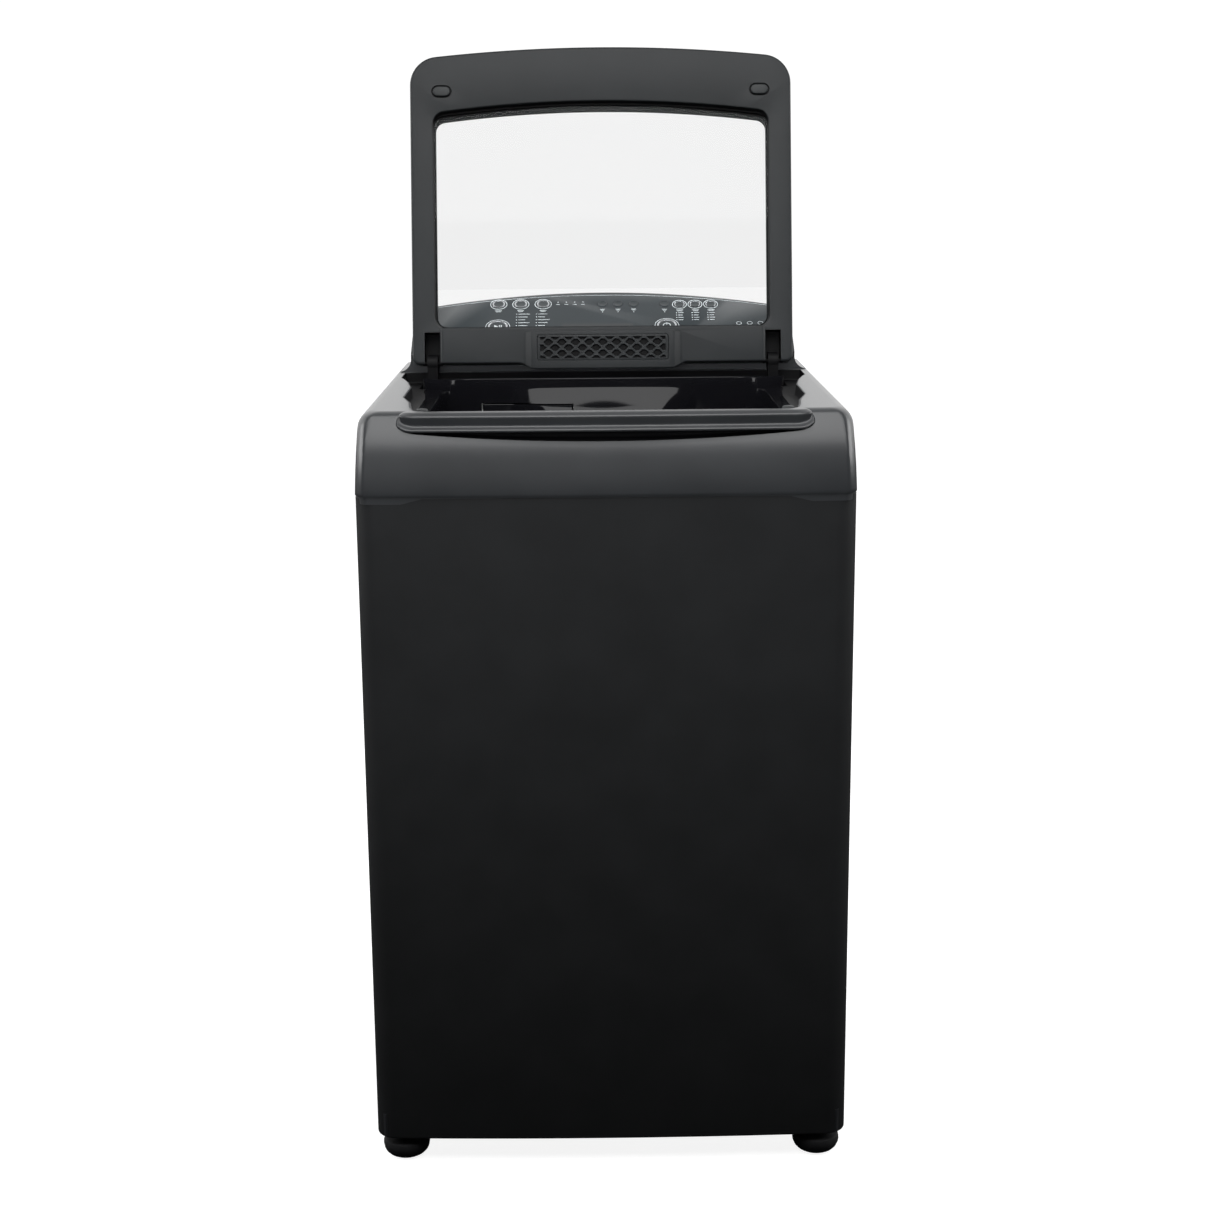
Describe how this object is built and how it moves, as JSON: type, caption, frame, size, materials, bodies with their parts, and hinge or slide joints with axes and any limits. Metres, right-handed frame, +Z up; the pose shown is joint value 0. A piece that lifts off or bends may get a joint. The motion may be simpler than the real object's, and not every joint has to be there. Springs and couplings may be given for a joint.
{
  "type": "top load washing machine",
  "caption": "Freestanding top-loading washing machine in dark graphite, glass lid standing open, spinning basket, pulsator, press buttons and levelling feet.",
  "frame": {"origin": "on the floor under the middle of the machine's bounding box, lid open", "axes": "+Z up, front face towards -Y, +X to the right seen from the front"},
  "size_m": [0.55, 0.58, 1.2831],
  "materials": {
    "painted_steel": "fine satin powder coat",
    "graphite_plastic": "satin gloss",
    "well_plastic": "gloss",
    "panel_film": "gloss film",
    "lid_glass": "clear tempered",
    "display_lens": "smoked lens",
    "dark_plastic": "fine texture",
    "button_cap": "satin",
    "rubber": "matte",
    "zinc_steel": "zinc plated",
    "stainless": "brushed",
    "grey_plastic": "moulded",
    "circuit_board": "solder mask"
  },
  "bodies": {
    "cabinet_body": {"cabinet": "painted_steel", "rear_panel": "zinc_steel", "base_frame": "dark_plastic", "feet_rear": "rubber", "rod_brackets": "zinc_steel", "top_cover": "well_plastic", "console_housing": "graphite_plastic", "control_panel": "panel_film", "console_rear_cover": "dark_plastic", "display_window": "display_lens", "control_board": "circuit_board", "inlet_valves": "grey_plastic", "water_duct": "grey_plastic", "drawer_housing": "grey_plastic", "hinge_posts": "dark_plastic", "landing_pads": "rubber", "suspension_rods": "zinc_steel", "suspension_springs": "zinc_steel", "drain_outlet": "dark_plastic", "screws": "zinc_steel"},
    "lid": {"lid_outer": "graphite_plastic", "lid_inner": "graphite_plastic", "lid_glass": "lid_glass", "lid_band": "graphite_plastic", "lid_grille": "dark_plastic", "lid_bumpers": "rubber", "hinge_pins": "zinc_steel"},
    "tub": {"outer_tub": "grey_plastic", "tub_ring": "grey_plastic", "bearings": "zinc_steel", "shaft_seal": "rubber", "clutch_housing": "zinc_steel", "motor": "zinc_steel", "drain_valve": "grey_plastic", "belt": "rubber", "suspension_caps": "dark_plastic"},
    "basket_unit": {"basket": "stainless", "basket_base": "stainless", "balance_ring": "grey_plastic", "lint_filter": "dark_plastic", "spin_tube": "zinc_steel"},
    "pulsator_drive": {"pulsator": "grey_plastic", "drive_shaft": "zinc_steel", "drive_pulley": "zinc_steel"},
    "motor_rotor": {"motor_pulley": "zinc_steel"},
    "drawer": {"detergent_drawer": "dark_plastic"},
    "foot_left": {"foot_front_left": "rubber"},
    "foot_right": {"foot_front_right": "rubber"},
    "button_program_1_key": {"button_program_1": "button_cap"},
    "button_program_2_key": {"button_program_2": "button_cap"},
    "button_program_3_key": {"button_program_3": "button_cap"},
    "button_option_1_key": {"button_option_1": "button_cap"},
    "button_option_2_key": {"button_option_2": "button_cap"},
    "button_option_3_key": {"button_option_3": "button_cap"},
    "button_delay_key": {"button_delay": "button_cap"},
    "button_level_1_key": {"button_level_1": "button_cap"},
    "button_level_2_key": {"button_level_2": "button_cap"},
    "button_level_3_key": {"button_level_3": "button_cap"},
    "button_start_key": {"button_start": "button_cap"},
    "button_power_key": {"button_power": "button_cap"}
  },
  "joints": [
    {"name": "lid_hinge", "type": "hinge", "parent": "cabinet_body", "child": "lid", "pos_m": [0, 0.125, 0.893], "axis": [1, 0, 0], "range_deg": [0, 102]},
    {"name": "tub_bounce", "type": "slide", "parent": "cabinet_body", "child": "tub", "axis": [0, 0, 1], "range_m": [-0.03, 0.01], "stiffness_N_per_m": 14000, "springref_m": 0.02537, "deforming": ["suspension_springs"]},
    {"name": "basket_spin", "type": "hinge", "parent": "tub", "child": "basket_unit", "pos_m": [0, -0.01, 0.5], "axis": [0, 0, 1], "continuous": true},
    {"name": "pulsator_spin", "type": "hinge", "parent": "tub", "child": "pulsator_drive", "pos_m": [0, -0.01, 0.2], "axis": [0, 0, 1], "continuous": true},
    {"name": "motor_spin", "type": "hinge", "parent": "tub", "child": "motor_rotor", "pos_m": [0, 0.14, 0.12], "axis": [0, 0, 1], "continuous": true},
    {"name": "drawer_slide", "type": "slide", "parent": "cabinet_body", "child": "drawer", "axis": [0, -1, 0], "range_m": [0, 0.11]},
    {"name": "foot_left_level", "type": "slide", "parent": "cabinet_body", "child": "foot_left", "axis": [0, 0, 1], "range_m": [-0.015, 0]},
    {"name": "foot_right_level", "type": "slide", "parent": "cabinet_body", "child": "foot_right", "axis": [0, 0, 1], "range_m": [-0.015, 0]},
    {"name": "button_program_1_press", "type": "slide", "parent": "cabinet_body", "child": "button_program_1_key", "axis": [0, 0.5135, -0.8581], "range_m": [0, 0.0015], "stiffness_N_per_m": 700},
    {"name": "button_program_2_press", "type": "slide", "parent": "cabinet_body", "child": "button_program_2_key", "axis": [0, 0.5135, -0.8581], "range_m": [0, 0.0015], "stiffness_N_per_m": 700},
    {"name": "button_program_3_press", "type": "slide", "parent": "cabinet_body", "child": "button_program_3_key", "axis": [0, 0.5135, -0.8581], "range_m": [0, 0.0015], "stiffness_N_per_m": 700},
    {"name": "button_option_1_press", "type": "slide", "parent": "cabinet_body", "child": "button_option_1_key", "axis": [0, 0.5135, -0.8581], "range_m": [0, 0.0015], "stiffness_N_per_m": 700},
    {"name": "button_option_2_press", "type": "slide", "parent": "cabinet_body", "child": "button_option_2_key", "axis": [0, 0.5135, -0.8581], "range_m": [0, 0.0015], "stiffness_N_per_m": 700},
    {"name": "button_option_3_press", "type": "slide", "parent": "cabinet_body", "child": "button_option_3_key", "axis": [0, 0.5135, -0.8581], "range_m": [0, 0.0015], "stiffness_N_per_m": 700},
    {"name": "button_delay_press", "type": "slide", "parent": "cabinet_body", "child": "button_delay_key", "axis": [0, 0.5135, -0.8581], "range_m": [0, 0.0015], "stiffness_N_per_m": 700},
    {"name": "button_level_1_press", "type": "slide", "parent": "cabinet_body", "child": "button_level_1_key", "axis": [0, 0.5135, -0.8581], "range_m": [0, 0.0015], "stiffness_N_per_m": 700},
    {"name": "button_level_2_press", "type": "slide", "parent": "cabinet_body", "child": "button_level_2_key", "axis": [0, 0.5135, -0.8581], "range_m": [0, 0.0015], "stiffness_N_per_m": 700},
    {"name": "button_level_3_press", "type": "slide", "parent": "cabinet_body", "child": "button_level_3_key", "axis": [0, 0.5135, -0.8581], "range_m": [0, 0.0015], "stiffness_N_per_m": 700},
    {"name": "button_start_press", "type": "slide", "parent": "cabinet_body", "child": "button_start_key", "axis": [0, 0.5135, -0.8581], "range_m": [0, 0.0015], "stiffness_N_per_m": 700},
    {"name": "button_power_press", "type": "slide", "parent": "cabinet_body", "child": "button_power_key", "axis": [0, 0.5135, -0.8581], "range_m": [0, 0.0015], "stiffness_N_per_m": 700}
  ],
  "couplings": [
    {"joint": "motor_spin", "follows": "pulsator_spin", "ratio": 3.3529}
  ]
}
